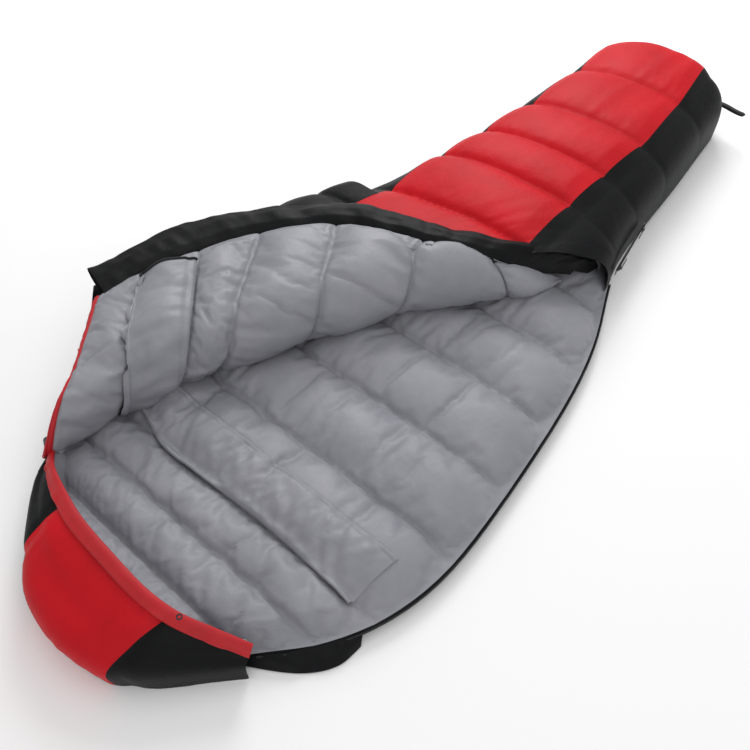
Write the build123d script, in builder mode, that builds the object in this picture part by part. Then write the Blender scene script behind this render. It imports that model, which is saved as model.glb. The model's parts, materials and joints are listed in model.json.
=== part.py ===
"""Mummy sleeping bag lying on its back, unzipped, with the top quilt folded open.

X runs across the bag, towards the zip side. Y runs from head to foot. Z is up, and the bag lies on Z = 0.
The origin is under the middle of the bag.
"""
import math
import os

from build123d import *

os.makedirs("parts", exist_ok=True)

# ---------------------------------------------------------------- driving dimensions, mm
MIDLINE_X = 16.0  # the bag's own midline
HEAD_Y = -1048.0
FOOT_Y = 1036.0
TAPE = 8.0  # zip tape proud of the quilts' edge
SKIN = 3.0  # a shell or lining cloth with the down cells' crowns flattened
GAP = 0.3  # between one layer and the next

BACK_TOP = 53.0  # top of the underneath quilt's lining
LEG_TOP = 162.0
CHEST_TOP = 112.0
HOOD_TOP = 142.0
WALL = 48.0  # thickness of a quilt wall

# Half widths of the bag along its length: (Y, half width)
HALF_WIDTHS = [
    (-1030, 100), (-988, 176), (-915, 246), (-850, 302), (-780, 364), (-690, 416),
    (-560, 449), (-420, 450), (-250, 436), (-70, 413), (120, 366), (300, 300),
    (480, 276), (700, 262), (900, 244), (990, 222), (1026, 176),
]

FOOT_HALF = 90.0  # half width of the foot's flat end
DOME = [(0.0, 0.0), (0.5, 7.0), (0.86, 24.0), (1.0, 52.0)]  # a cover's sides: (share of height, lean inwards)

# The fold of the open top quilt: a line across the bag, from its head end towards the zip's lower end
FOLD_HEAD = (-262.0, -724.0)
FOLD_ANGLE = 26.0  # degrees between the fold and the bag's length
FOLD_Z = 139.0
BEND_IN = 25.0  # inner radius of the quilt's bend
QUILT = 40.0  # thickness of the folded quilt
FOLD_START = 22.0
FOLD_END = 770.0
ACROSS = Vector(1, 0, 0).rotate(Axis.Z, -FOLD_ANGLE)
FOLD = Plane(origin=(*FOLD_HEAD, 0), x_dir=ACROSS, z_dir=(0, 0, 1))

# Zip
CHAIN_HEAD = (322.0, 264.0)
CHAIN_FOOT = (294.0, 438.0)
CHAIN_Z = 70.0
SLIDER = (12.0, 5.0, 9.0)  # length, thickness, width
PULL = (26.0, 1.6, 7.0)

# Hood edge, from the cord lock round to the zip side: (X, Y, Z)
HOOD_EDGE = [
    (-236, -836, 82), (-196, -852, 98), (-128, -874, 117), (-40, -892, 130), (60, -898, 132),
    (150, -892, 124), (222, -874, 106), (280, -852, 78),
]
BINDING_R = 8.0
CORD_R = 2.0


# ---------------------------------------------------------------- shared shapes
def outline(inset=0.0):
    """The bag's plan outline as a closed face, drawn in by inset."""
    right = [(MIDLINE_X + half, y) for y, half in HALF_WIDTHS]
    left = [(MIDLINE_X - half, y) for y, half in reversed(HALF_WIDTHS)]
    foot = [(MIDLINE_X + FOOT_HALF, FOOT_Y), (MIDLINE_X - FOOT_HALF, FOOT_Y)]
    edge = [(MIDLINE_X, HEAD_Y)] + right + foot + left
    drawn_in = []
    for before, at, after in zip(edge[-1:] + edge, edge, edge[1:] + edge[:1]):
        along = (Vector(*after) - Vector(*before)).normalized()
        drawn_in.append(Vector(*at) + Vector(-along.Y, along.X) * inset)
    with BuildSketch(Plane.XY, mode=Mode.PRIVATE) as plan:
        with BuildLine():
            Spline(*drawn_in, periodic=True)
        make_face()
    return plan.sketch


def cover(inset, top):
    """A low dome on the underneath quilt: its sides lean in as they rise, the inner layers' less than the outer."""
    height = top - BACK_TOP - GAP
    softer = 1.0 - 0.6 * inset / WALL
    with BuildPart(mode=Mode.PRIVATE) as dome:
        for share, lean in DOME:
            with BuildSketch(Plane.XY.offset(BACK_TOP + GAP + share * height)):
                add(outline(TAPE + inset + lean * softer))
        loft(ruled=True)
    return dome.part


def region(points, low=-5.0, high=260.0, plane=Plane.XY):
    """A straight-sided block over a polygon, for cutting a layer into panels."""
    with BuildPart(mode=Mode.PRIVATE) as block:
        with BuildSketch(plane.offset(low)):
            with BuildLine():
                Polyline(*points, close=True)
            make_face()
        extrude(amount=high - low)
    return block.part


def layers(top):
    """Shell, fill, lining and hollow of a cover, from the outside in."""
    shell = cover(0, top) - cover(SKIN, top - SKIN)
    fill = cover(SKIN + GAP, top - SKIN - GAP) - cover(WALL - SKIN - GAP, top - 40 + SKIN + GAP)
    lining = cover(WALL - SKIN, top - 40 + SKIN) - cover(WALL, top - 40)
    return shell, fill, lining


def save(part, name):
    """Labels a finished piece and writes it."""
    part.label = name
    export_step(part, f"parts/{name}.step")


def keep(name, *solids_and_cuts):
    """Writes the common part of the solids given."""
    with BuildPart() as piece:
        add(solids_and_cuts[0])
        for other in solids_and_cuts[1:]:
            add(other, mode=Mode.INTERSECT)
    save(piece.part, name)


def flat_piece(name, face, low, high, cuts=()):
    """Writes a piece of even thickness between two heights."""
    with BuildPart() as piece:
        with BuildSketch(Plane.XY.offset(low)):
            add(face)
        extrude(amount=high - low)
        for cut in cuts:
            add(cut, mode=Mode.SUBTRACT)
    save(piece.part, name)


def fold_point(across, along, z):
    """A point given across and along the fold, in the bag's frame."""
    return FOLD.from_local_coords(Vector(across, along, z))


# ---------------------------------------------------------------- plan regions of the panels
BAG_LEFT, BAG_RIGHT = -560.0, 560.0
LEG_EDGE = [(BAG_LEFT, -150), (-120, -60), (60, 16), (165, 122), (304, 262), (BAG_RIGHT, 262)]
FOOT_CUT = 1004.0
LEG = region(LEG_EDGE + [(BAG_RIGHT, FOOT_CUT), (BAG_LEFT, FOOT_CUT)])
FOOT = region([(BAG_LEFT, FOOT_CUT + GAP), (BAG_RIGHT, FOOT_CUT + GAP), (BAG_RIGHT, 1200), (BAG_LEFT, 1200)])

HOOD_LINE = [(x, y - BINDING_R - 3) for x, y, z in HOOD_EDGE]
HOOD = region([(BAG_LEFT, -1200), (BAG_LEFT, -847)] + HOOD_LINE + [(BAG_RIGHT, -863), (BAG_RIGHT, -1200)])

fold_side = [fold_point(-4, -86, 0), fold_point(-4, 790, 0)]
CHEST = region(
    [(BAG_LEFT, -826), (-330, -826)]
    + [(p.X, p.Y) for p in fold_side]
    + [(60, 12), (-120, -64), (BAG_LEFT, -154)]
)

# Borders between the red centre panel and the black side panels, head to foot
LEFT_BORDER = [(-112, -1100), (-84, -890), (-200, -780), (-222, -400), (-212, -20), (-170, 280), (-113, 620), (-111, 816), (-139, 1100)]
RIGHT_BORDER = [(150, -1100), (186, -890), (190, -400), (172, 140), (178, 400), (187, 574), (174, 809), (145, 1100)]
CENTRE = region(LEFT_BORDER + RIGHT_BORDER[::-1])
LEFT = region([(x - GAP, y) for x, y in LEFT_BORDER] + [(BAG_LEFT, 1100), (BAG_LEFT, -1100)])
RIGHT = region([(x + GAP, y) for x, y in RIGHT_BORDER] + [(BAG_RIGHT, 1100), (BAG_RIGHT, -1100)])


# ---------------------------------------------------------------- underneath quilt
flat_piece("back_shell", outline(TAPE), 0, SKIN)
flat_piece("back_fill", outline(TAPE + 2), SKIN + GAP, BACK_TOP - SKIN - GAP)
flat_piece("back_lining", outline(TAPE), BACK_TOP - SKIN, BACK_TOP)

# Padded neck collar on the back lining, its free edge towards the head
with BuildPart() as back_draft_collar:
    with BuildSketch(Plane.XY.offset(BACK_TOP + GAP)):
        with BuildLine():
            Polyline((-120, -690), (376, -690), (392, -660), (384, -586), (-100, -586), close=True)
        make_face()
    extrude(amount=8)
save(back_draft_collar.part, "back_draft_collar")

# Zip tape and its coil round the open edge
OPEN_EDGE = region([(60, -828), (BAG_RIGHT, -828), (BAG_RIGHT, 262), (60, 262)])
with BuildPart(mode=Mode.PRIVATE) as edge_strip:
    with BuildSketch(Plane.XY.offset(20)):
        add(outline(0))
        add(outline(TAPE + GAP), mode=Mode.SUBTRACT)
    extrude(amount=1.4)
keep("back_zip_tape", edge_strip.part, OPEN_EDGE)
with BuildPart(mode=Mode.PRIVATE) as coil_strip:
    with BuildSketch(Plane.XY.offset(21.7)):
        add(outline(0))
        add(outline(4), mode=Mode.SUBTRACT)
    extrude(amount=2.6)
keep("back_zip_coil", coil_strip.part, OPEN_EDGE)

# Loose end of the storm flap beside the hood
with BuildPart() as back_storm_flap:
    with BuildSketch(Plane.XY.offset(0.4)):
        with BuildLine():
            Polyline((300, -840), (342, -858), (392, -812), (428, -764), (428, -728), (380, -770), close=True)
        make_face()
    extrude(amount=3.0)
    with BuildSketch(Plane.XY):
        add(outline(-1))
    extrude(amount=10, mode=Mode.SUBTRACT)
save(back_storm_flap.part, "back_storm_flap")


# ---------------------------------------------------------------- closed leg part
leg_shell, leg_fill, leg_lining = layers(LEG_TOP)
keep("leg_centre_panel", leg_shell, LEG, CENTRE)
keep("leg_side_left", leg_shell, LEG, LEFT)
keep("leg_side_right", leg_shell, LEG, RIGHT)
keep("foot_panel", leg_shell, FOOT)
keep("leg_lining", leg_lining, region(LEG_EDGE + [(BAG_RIGHT, 1200), (BAG_LEFT, 1200)]))

ROOF_Z = LEG_TOP - 40 + SKIN + GAP
FOOT_WALL = 980.0
LEG_WALLS = LEG_EDGE + [(BAG_RIGHT, FOOT_WALL), (BAG_LEFT, FOOT_WALL)]
LEFT_HALF = [(BAG_LEFT, -1200), (MIDLINE_X, -1200), (MIDLINE_X, 1200), (BAG_LEFT, 1200)]
RIGHT_HALF = [(MIDLINE_X, -1200), (BAG_RIGHT, -1200), (BAG_RIGHT, 1200), (MIDLINE_X, 1200)]
LEG_ALL = LEG_EDGE + [(BAG_RIGHT, 1200), (BAG_LEFT, 1200)]
FOOT_ALL = [(BAG_LEFT, FOOT_WALL + GAP), (BAG_RIGHT, FOOT_WALL + GAP), (BAG_RIGHT, 1200), (BAG_LEFT, 1200)]
keep("leg_fill_top", leg_fill, region(LEG_ALL, low=ROOF_Z + GAP))
keep("leg_fill_left", leg_fill, region(LEG_WALLS, high=ROOF_Z), region(LEFT_HALF))
keep("leg_fill_right", leg_fill, region(LEG_WALLS, high=ROOF_Z), region(RIGHT_HALF))
keep("foot_fill", leg_fill, region(FOOT_ALL, high=ROOF_Z))


# ---------------------------------------------------------------- top quilt that stays down
chest_shell, chest_fill, chest_lining = layers(CHEST_TOP)
keep("chest_centre_panel", chest_shell, CHEST, CENTRE)
keep("chest_side_left", chest_shell, CHEST, LEFT)
keep("chest_fill", chest_fill, CHEST)
keep("chest_lining", chest_lining, CHEST)


# ---------------------------------------------------------------- hood
hood_shell, hood_fill, hood_lining = layers(HOOD_TOP)
keep("hood_centre_panel", hood_shell, HOOD, CENTRE)
keep("hood_side_left", hood_shell, HOOD, LEFT)
keep("hood_side_right", hood_shell, HOOD, RIGHT)
keep("hood_fill", hood_fill, HOOD)
keep("hood_lining", hood_lining, HOOD)


def corner_radii(points):
    """As large an arc at each corner as its two runs allow."""
    radii = []
    for before, at, after in zip(points, points[1:], points[2:]):
        run_in = Vector(*at) - Vector(*before)
        run_out = Vector(*after) - Vector(*at)
        half_turn = math.radians(run_in.get_angle(run_out)) / 2
        radii.append(0.45 * min(run_in.length, run_out.length) / math.tan(half_turn))
    return radii


def tube(points, radius, bore=0.0):
    """A round tube along straight runs joined by tangent arcs."""
    start = Vector(*points[0])
    with BuildPart(mode=Mode.PRIVATE) as along:
        with BuildLine():
            path = FilletPolyline(*points, radius=corner_radii(points))
        with BuildSketch(Plane(origin=start, z_dir=path % 0)):
            Circle(radius)
            if bore:
                Circle(bore, mode=Mode.SUBTRACT)
        sweep(path=path)
    return along.part


with BuildPart() as hood_binding:
    add(tube(HOOD_EDGE, BINDING_R, CORD_R + GAP))
save(hood_binding.part, "hood_binding")

with BuildPart() as hood_drawcord:
    add(tube(HOOD_EDGE, CORD_R))
save(hood_drawcord.part, "hood_drawcord")
print("drawcord radii", [round(r) for r in corner_radii(HOOD_EDGE)])

# Eyelet where the drawcord is sewn off, on the zip side of the hood
with BuildPart() as hood_eyelet:
    with BuildSketch(Plane(origin=(222, -900, 142.4), z_dir=(0.1, 0, 1))):
        Circle(5)
        Circle(2.6, mode=Mode.SUBTRACT)
    extrude(amount=1.2)
save(hood_eyelet.part, "hood_eyelet")


# ---------------------------------------------------------------- cord lock at the hood's closed side
lock_run = Vector(*HOOD_EDGE[0]) - Vector(*HOOD_EDGE[1])
LOCK = Plane(origin=Vector(*HOOD_EDGE[0]) + lock_run.normalized() * 14, z_dir=lock_run)
with BuildPart() as cord_lock_body:
    with BuildSketch(LOCK.offset(-9)):
        Circle(7)
        Circle(5, mode=Mode.SUBTRACT)
    extrude(amount=16)
    with BuildSketch(LOCK.offset(-11)):
        Circle(7)
        Circle(CORD_R + GAP, mode=Mode.SUBTRACT)
    extrude(amount=2)
save(cord_lock_body.part, "cord_lock_body")

with BuildPart() as cord_lock_spring:
    with BuildSketch(LOCK.offset(-8.7)):
        Circle(4)
        Circle(CORD_R + GAP, mode=Mode.SUBTRACT)
    extrude(amount=8.5)
save(cord_lock_spring.part, "cord_lock_spring")

with BuildPart() as cord_lock_button:
    with BuildSketch(LOCK.offset(0.6)):
        Circle(4.6)
        Circle(CORD_R + GAP, mode=Mode.SUBTRACT)
    extrude(amount=12)
    fillet(cord_lock_button.edges().group_by(Axis(LOCK.origin, LOCK.z_dir))[-1], 0.8)
save(cord_lock_button.part, "cord_lock_button")


# ---------------------------------------------------------------- closed stretch of the zip on the leg's side
chain_run = Vector(*CHAIN_FOOT) - Vector(*CHAIN_HEAD)
CHAIN = Plane(
    origin=(CHAIN_HEAD[0], CHAIN_HEAD[1], CHAIN_Z),
    x_dir=(chain_run.X, chain_run.Y, 0),
    z_dir=(chain_run.Y, -chain_run.X, 0),
)
CHAIN_LENGTH = chain_run.length


def chain_block(start, length, width, low, high):
    """A block on the zip: from start along it, width across it, between two heights off the bag's side."""
    with BuildPart(mode=Mode.PRIVATE) as block:
        with BuildSketch(CHAIN.offset(low)):
            with Locations((start + length / 2, 0)):
                Rectangle(length, width)
        extrude(amount=high - low)
    return block.part


CHAIN_FACE = 4.0
with BuildPart() as zip_chain:
    add(chain_block(-6, CHAIN_LENGTH + 6, 22, CHAIN_FACE - 1.4, CHAIN_FACE))
    add(chain_block(0, CHAIN_LENGTH, 5, CHAIN_FACE, CHAIN_FACE + 2.2))
save(zip_chain.part, "zip_chain")

with BuildPart() as zip_bottom_stop:
    add(chain_block(CHAIN_LENGTH - 3, 3, 8, CHAIN_FACE + 2.5, CHAIN_FACE + 4))
save(zip_bottom_stop.part, "zip_bottom_stop")

with BuildPart() as zip_top_stop:
    with BuildSketch(Plane(origin=(346, -816, 24.6), x_dir=(0.66, 0.75, 0), z_dir=(0, 0, 1))):
        Rectangle(4, 3)
    extrude(amount=1.6)
save(zip_top_stop.part, "zip_top_stop")

# Padded tube behind the closed zip, inside the leg space
with BuildPart() as zip_draft_tube:
    with BuildSketch(Plane(origin=(238, 288, 66), z_dir=(-0.13, 1, 0))):
        Circle(8)
    extrude(amount=150)
save(zip_draft_tube.part, "zip_draft_tube")


def slider_and_pull(prefix, start, facing):
    """A zip slider that saddles the coil, and the pull on its bridge; facing is 1 towards the foot."""
    length, plate, width = SLIDER
    low = CHAIN_FACE + 2.2 + GAP
    bridge = chain_block(start + 2.5, length - 5, 2.4, low, low + plate)
    with BuildPart() as slider:
        add(chain_block(start, length, width, low, low + 1.6))
        add(bridge)
        add(chain_block(start + 4.2, length - 8.4, 4, low + 2.4, low + plate - 1.4), mode=Mode.SUBTRACT)
    save(slider.part, f"{prefix}_slider")
    long, thick, wide = PULL
    reach = start + (3.5 if facing > 0 else length - 3.5)
    from_end = reach + (length - 2.0) * facing
    tab_start = from_end if facing > 0 else from_end - long
    with BuildPart() as pull:
        add(chain_block(tab_start, long, wide, low + 2.6, low + 2.6 + thick))
    save(pull.part, f"{prefix}_pull")
    middle = CHAIN.from_local_coords(Vector(from_end, 0, low + 2.6 + thick / 2))
    print(prefix, "pull hinge", [round(v, 1) for v in middle])


slider_and_pull("main", 4, 1)
slider_and_pull("foot", CHAIN_LENGTH - 20, -1)
print("zip direction", [round(v, 4) for v in CHAIN.x_dir], "outward", [round(v, 4) for v in CHAIN.z_dir])


# ---------------------------------------------------------------- folded top quilt
# Outlines across and along the fold; the quilt lies on the side of negative X there
CHIN_LINE = [(0, FOLD_START), (-88, 58), (-150, 100)]
PADDED_EDGE = [(-150, 100), (-198, 215), (-212, 330), (-200, 470), (-160, 595), (-85, 690), (0, FOLD_END)]
BAND_EDGE = [(-236, 142), (-278, 205), (-300, 300), (-284, 430), (-252, 533), (-205, 650), (-110, 760), (-10, 845)]
SLAB_LOW = FOLD_Z + BEND_IN
SLAB_HIGH = SLAB_LOW + QUILT


def padded_area(inset=0.0):
    """Plan of the padded part of the folded quilt."""
    with BuildSketch(Plane.XY, mode=Mode.PRIVATE) as plan:
        with BuildLine():
            Polyline(*CHIN_LINE)
            Spline(*PADDED_EDGE)
            Line((0, FOLD_END), (0, FOLD_START))
        make_face()
    return plan.sketch


def quilt_layer(low, high):
    """One layer of the folded quilt: a flat area, and the half round of its bend beside it."""
    inner = BEND_IN + low
    outer = BEND_IN + high
    bend_plane = Plane(
        origin=fold_point(0, FOLD_START, FOLD_Z), x_dir=FOLD.x_dir, z_dir=-FOLD.y_dir
    )
    with BuildPart(mode=Mode.PRIVATE) as layer:
        with BuildSketch(FOLD.offset(SLAB_LOW + low)):
            add(padded_area())
        extrude(amount=high - low)
        with BuildSketch(bend_plane):
            with BuildLine():
                CenterArc((0, 0), outer, -90, 180)
                Line((0, outer), (0, inner))
                CenterArc((0, 0), inner, -90, 180)
                Line((0, -inner), (0, -outer))
            make_face()
        extrude(amount=-(FOLD_END - FOLD_START))
    return layer.part


PANEL_SPLIT = [(-200, 80), (90, 640), (90, -40), (-200, -40)]
RED_CUT = region(PANEL_SPLIT, plane=FOLD)
BLACK_CUT = region([(-200.3, 81), (90, 641), (90, 1000), (-400, 1000), (-400, 80)], plane=FOLD)
flap_shell = quilt_layer(0, SKIN)
keep("flap_centre_panel", flap_shell, RED_CUT)
keep("flap_side_panel", flap_shell, BLACK_CUT)
keep("flap_fill", quilt_layer(SKIN + GAP, QUILT - SKIN - GAP))
keep("flap_lining", quilt_layer(QUILT - SKIN, QUILT))


def band(shift, low, high):
    """A strip along the open edge of the folded quilt, drawn in from that edge by shift."""
    with BuildPart(mode=Mode.PRIVATE) as strip:
        with BuildSketch(FOLD.offset(low)):
            with BuildLine():
                outer = Spline(*[(x + shift, y - shift) for x, y in BAND_EDGE])
                Polyline(outer @ 1, (0, FOLD_END + 1), (0, 300), (-150, 101), outer @ 0)
            make_face()
        extrude(amount=high - low)
        with BuildSketch(FOLD.offset(low)):
            add(padded_area())
        extrude(amount=high - low, mode=Mode.SUBTRACT)
    return strip.part


BAND_LOW = SLAB_LOW + 2
with BuildPart() as flap_storm_flap:
    add(band(0, BAND_LOW, BAND_LOW + 12))
    with BuildSketch(FOLD.offset(SLAB_LOW)):
        with Locations((-100, 400)):
            Rectangle(600, 1200)
    extrude(amount=-20, mode=Mode.SUBTRACT)
save(flap_storm_flap.part, "flap_storm_flap")

with BuildPart() as flap_zip_tape:
    add(band(0, BAND_LOW + 12 + GAP, BAND_LOW + 13.5))
    add(band(10, BAND_LOW + 12, BAND_LOW + 14), mode=Mode.SUBTRACT)
save(flap_zip_tape.part, "flap_zip_tape")

with BuildPart() as flap_zip_coil:
    add(band(0, BAND_LOW + 13.8, BAND_LOW + 16.2))
    add(band(4, BAND_LOW + 13, BAND_LOW + 17), mode=Mode.SUBTRACT)
save(flap_zip_coil.part, "flap_zip_coil")

# Neck collar on the folded quilt's lining, and the piping at its open end
with BuildPart() as flap_draft_collar:
    with BuildSketch(FOLD.offset(SLAB_HIGH + GAP)):
        with BuildLine():
            Polyline((-186, 204), (-2, 112), (-2, 226), (-176, 296), close=True)
        make_face()
    extrude(amount=8)
save(flap_draft_collar.part, "flap_draft_collar")

with BuildPart() as flap_collar_piping:
    with BuildSketch(FOLD.offset(SLAB_HIGH + GAP)):
        with BuildLine():
            Polyline((-191, 205), (-187, 204), (-177, 297), (-181, 298), close=True)
        make_face()
    extrude(amount=6)
save(flap_collar_piping.part, "flap_collar_piping")

# Bound chin edge
with BuildPart() as chin_binding:
    with BuildSketch(FOLD.offset(SLAB_LOW)):
        with BuildLine():
            Polyline((-2, FOLD_START - 1), (-88.5, 56.6), (-150, 98.6), (-236, 140), (-238, 130), (-154, 89), (-92, 47), (-2, 11), close=True)
        make_face()
    extrude(amount=QUILT)
save(chin_binding.part, "chin_binding")

# Shell cloth gathered inside the fold
with BuildPart() as fold_shell:
    with BuildSketch(Plane(origin=fold_point(0, FOLD_START, FOLD_Z), z_dir=FOLD.y_dir)):
        Circle(BEND_IN - 1)
    extrude(amount=FOLD_END - FOLD_START)
save(fold_shell.part, "fold_shell")


# ---------------------------------------------------------------- hanging loop at the foot
LOOP = (217.0, 1002.0, 84.0)
with BuildPart() as hanging_loop:
    with BuildSketch(Plane(origin=LOOP, x_dir=(1, -0.15, 0), z_dir=(0.15, 1, 0))):
        with Locations((40, 0)):
            SlotOverall(80, 9)
            SlotOverall(76, 5, mode=Mode.SUBTRACT)
    extrude(amount=10)
save(hanging_loop.part, "hanging_loop")
print("fold direction", [round(v, 5) for v in FOLD.y_dir], "across", [round(v, 5) for v in FOLD.x_dir])
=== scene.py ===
# %% [markdown]
# # A down mummy sleeping bag, folded open
# The bag is a stack of sewn cloth: a slick nylon shell outside, down in cells, and a satin lining inside.
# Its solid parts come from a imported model, which this lesson never moves. Each cloth piece is drawn in
# their place as a grid whose rows run across the bag, roughly along the sewn seams.

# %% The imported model
import json
import math

import bpy
import numpy as np
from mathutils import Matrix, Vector


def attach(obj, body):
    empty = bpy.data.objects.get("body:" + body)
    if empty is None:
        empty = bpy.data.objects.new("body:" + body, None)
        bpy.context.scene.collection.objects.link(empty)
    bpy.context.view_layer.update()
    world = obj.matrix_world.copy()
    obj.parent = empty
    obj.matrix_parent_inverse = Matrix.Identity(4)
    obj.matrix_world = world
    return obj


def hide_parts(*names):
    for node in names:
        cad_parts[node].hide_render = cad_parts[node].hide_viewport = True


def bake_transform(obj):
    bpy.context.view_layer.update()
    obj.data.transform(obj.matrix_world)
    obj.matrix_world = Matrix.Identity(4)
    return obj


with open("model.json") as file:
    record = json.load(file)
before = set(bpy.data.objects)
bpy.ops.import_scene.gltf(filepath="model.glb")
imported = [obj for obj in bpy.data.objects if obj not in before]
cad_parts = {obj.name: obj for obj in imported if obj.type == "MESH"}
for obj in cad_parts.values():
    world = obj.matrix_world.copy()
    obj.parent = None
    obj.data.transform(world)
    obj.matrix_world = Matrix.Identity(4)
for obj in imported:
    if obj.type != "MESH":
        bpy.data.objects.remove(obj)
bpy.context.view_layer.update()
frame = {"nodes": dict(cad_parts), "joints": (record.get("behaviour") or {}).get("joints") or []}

MM = 0.001

# %% [markdown]
# ## Camera, floor and light
# The bag is seen from above its hood, over the zip side. A studio sweep is only a pale floor and large soft
# lights: one broad key from behind the foot gives every down cell a bright side and a shaded side.

# %% Camera
camera_data = bpy.data.cameras.new("camera")
camera_data.lens = 37.2
camera_data.sensor_width = 36.0
camera = bpy.data.objects.new("camera", camera_data)
bpy.context.scene.collection.objects.link(camera)
CAMERA_TURN = math.radians(40.4)
CAMERA_DOWN = math.radians(51.6)
camera.location = (0.7296, -1.0432, 1.280)
camera.rotation_euler = (math.pi / 2 - CAMERA_DOWN, 0.0, CAMERA_TURN)
bpy.context.scene.camera = camera

# %% Floor and lights
floor_mesh = bpy.data.meshes.new("studio_floor")
floor_mesh.from_pydata([(-8, -8, 0), (8, -8, 0), (8, 8, 0), (-8, 8, 0)], [], [(0, 1, 2, 3)])
floor = bpy.data.objects.new("studio_floor", floor_mesh)
bpy.context.scene.collection.objects.link(floor)


def soft_light(name, place, target, size, watts):
    """A square area light that faces a point."""
    data = bpy.data.lights.new(name, "AREA")
    data.size = size
    data.energy = watts
    lamp = bpy.data.objects.new(name, data)
    lamp.location = place
    lamp.rotation_euler = (Vector(target) - Vector(place)).to_track_quat("-Z", "Y").to_euler()
    bpy.context.scene.collection.objects.link(lamp)
    return lamp


soft_light("key", (-1.5, 2.0, 2.2), (0, 0, 0), 1.5, 58)
soft_light("fill", (2.2, -1.6, 2.6), (0, 0, 0), 2.6, 14)
soft_light("top", (0.3, 0.4, 3.4), (0, 0, 0), 3.0, 20)
world = bpy.data.worlds.new("studio")
world.use_nodes = True
world.node_tree.nodes["Background"].inputs["Color"].default_value = (1, 1, 1, 1)
world.node_tree.nodes["Background"].inputs["Strength"].default_value = 0.55
bpy.context.scene.world = world
bpy.context.scene.view_settings.view_transform = "Standard"

# %% [markdown]
# ## Materials
# Colours are given as sRGB hex, as a cloth maker's card would, and turned to linear light once. One helper
# adds a node with its settings and its links. Patterns use object coordinates in metres, so their scale is
# a real size.


# %% Material helpers
def linear(hex_code):
    """An sRGB hex colour as linear RGBA."""
    parts = [int(hex_code[i : i + 2], 16) / 255 for i in (1, 3, 5)]
    return tuple(c / 12.92 if c <= 0.04045 else ((c + 0.055) / 1.055) ** 2.4 for c in parts) + (1.0,)


def add_node(tree, kind, settings=None, **links):
    """A node of a kind, with its properties and sockets set; a link's value is the socket that feeds it."""
    node = tree.nodes.new(kind)
    for key, value in (settings or {}).items():
        if isinstance(key, int) or key in node.inputs.keys():
            node.inputs[key].default_value = value
        else:
            setattr(node, key, value)
    for key, source in links.items():
        tree.links.new(source, node.inputs[int(key[1:])] if key[1:].isdigit() else node.inputs[key])
    return node


def new_material(name, colour, **settings):
    """A material with its Principled shader, ready for more nodes."""
    made = bpy.data.materials.new(name)
    made.use_nodes = True
    shader = made.node_tree.nodes["Principled BSDF"]
    shader.inputs["Base Color"].default_value = linear(colour)
    for key, value in settings.items():
        shader.inputs[key.replace("_", " ")].default_value = value
    return made, made.node_tree, shader


# At scale 1 the wave node turns by 20 radians in each metre
WAVE_STEP = 20.0


def cloth_material(name, colour, shade, ridge_mm, wrinkle, rough, sheen=0.0, specular=0.5):
    """Woven cloth: faint ridges of weave, fine creases, and the slight patchiness of down beneath it."""
    made, tree, shader = new_material(name, colour, Roughness=rough)
    shader.inputs["Sheen Weight"].default_value = sheen
    shader.inputs["Sheen Roughness"].default_value = 0.4
    shader.inputs["Specular IOR Level"].default_value = specular
    where = add_node(tree, "ShaderNodeTexCoord").outputs["Object"]
    patches = add_node(
        tree, "ShaderNodeTexNoise", {"Scale": 9.0, "Detail": 3.0, "Roughness": 0.6}, Vector=where
    )
    ramp = add_node(tree, "ShaderNodeValToRGB", Fac=patches.outputs["Fac"])
    ramp.color_ramp.elements[0].position = 0.3
    ramp.color_ramp.elements[0].color = linear(shade)
    ramp.color_ramp.elements[1].position = 0.72
    ramp.color_ramp.elements[1].color = linear(colour)
    tree.links.new(ramp.outputs["Color"], shader.inputs["Base Color"])
    creases = add_node(
        tree,
        "ShaderNodeTexNoise",
        {"Scale": 38.0, "Detail": 5.0, "Roughness": 0.62, "Distortion": 0.9},
        Vector=where,
    )
    crease_bump = add_node(
        tree, "ShaderNodeBump", {"Strength": wrinkle, "Distance": 0.004}, Height=creases.outputs["Fac"]
    )
    weave_scale = 2 * math.pi / (WAVE_STEP * ridge_mm * MM)
    warp = add_node(
        tree,
        "ShaderNodeTexWave",
        {"bands_direction": "X", "Scale": weave_scale, "Distortion": 0.4},
        Vector=where,
    )
    weft = add_node(
        tree,
        "ShaderNodeTexWave",
        {"bands_direction": "Y", "Scale": weave_scale, "Distortion": 0.4},
        Vector=where,
    )
    weave = add_node(
        tree, "ShaderNodeMath", {"operation": "MULTIPLY"}, _0=warp.outputs["Fac"], _1=weft.outputs["Fac"]
    )
    weave_bump = add_node(
        tree,
        "ShaderNodeBump",
        {"Strength": 0.12, "Distance": 0.0003},
        Height=weave.outputs["Value"],
        Normal=crease_bump.outputs["Normal"],
    )
    tree.links.new(weave_bump.outputs["Normal"], shader.inputs["Normal"])
    return made


# %% [markdown]
# The shell is calendered nylon taffeta: heat and pressure flatten its threads, so it is soft but catches
# a broad highlight. The lining is a satin weave, smoother and silvery. Both weaves are about 0.1 mm, far
# too fine to show, so they are drawn as faint ridges 6 to 8 mm apart, which leaves a hint of grain.

# %% Cloths
red_taffeta = cloth_material("red_taffeta", "#CC0A1B", "#B90715", 7.54, 0.30, 0.56, sheen=0.0, specular=0.20)
black_taffeta = cloth_material(
    "black_taffeta", "#090A0D", "#060709", 7.54, 0.30, 0.54, sheen=0.0, specular=0.17
)
grey_satin = cloth_material("grey_satin", "#96969D", "#888990", 6.283, 0.30, 0.47, sheen=0.03, specular=0.36)
red_binding = cloth_material("red_woven_binding", "#C60F1D", "#AE0C18", 10.053, 0.12, 0.6, sheen=0.02)
black_tape = cloth_material("black_zip_tape", "#1B1C20", "#121316", 8.796, 0.05, 0.75)
black_webbing = cloth_material("black_webbing", "#202126", "#141519", 12.566, 0.05, 0.7)

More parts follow.
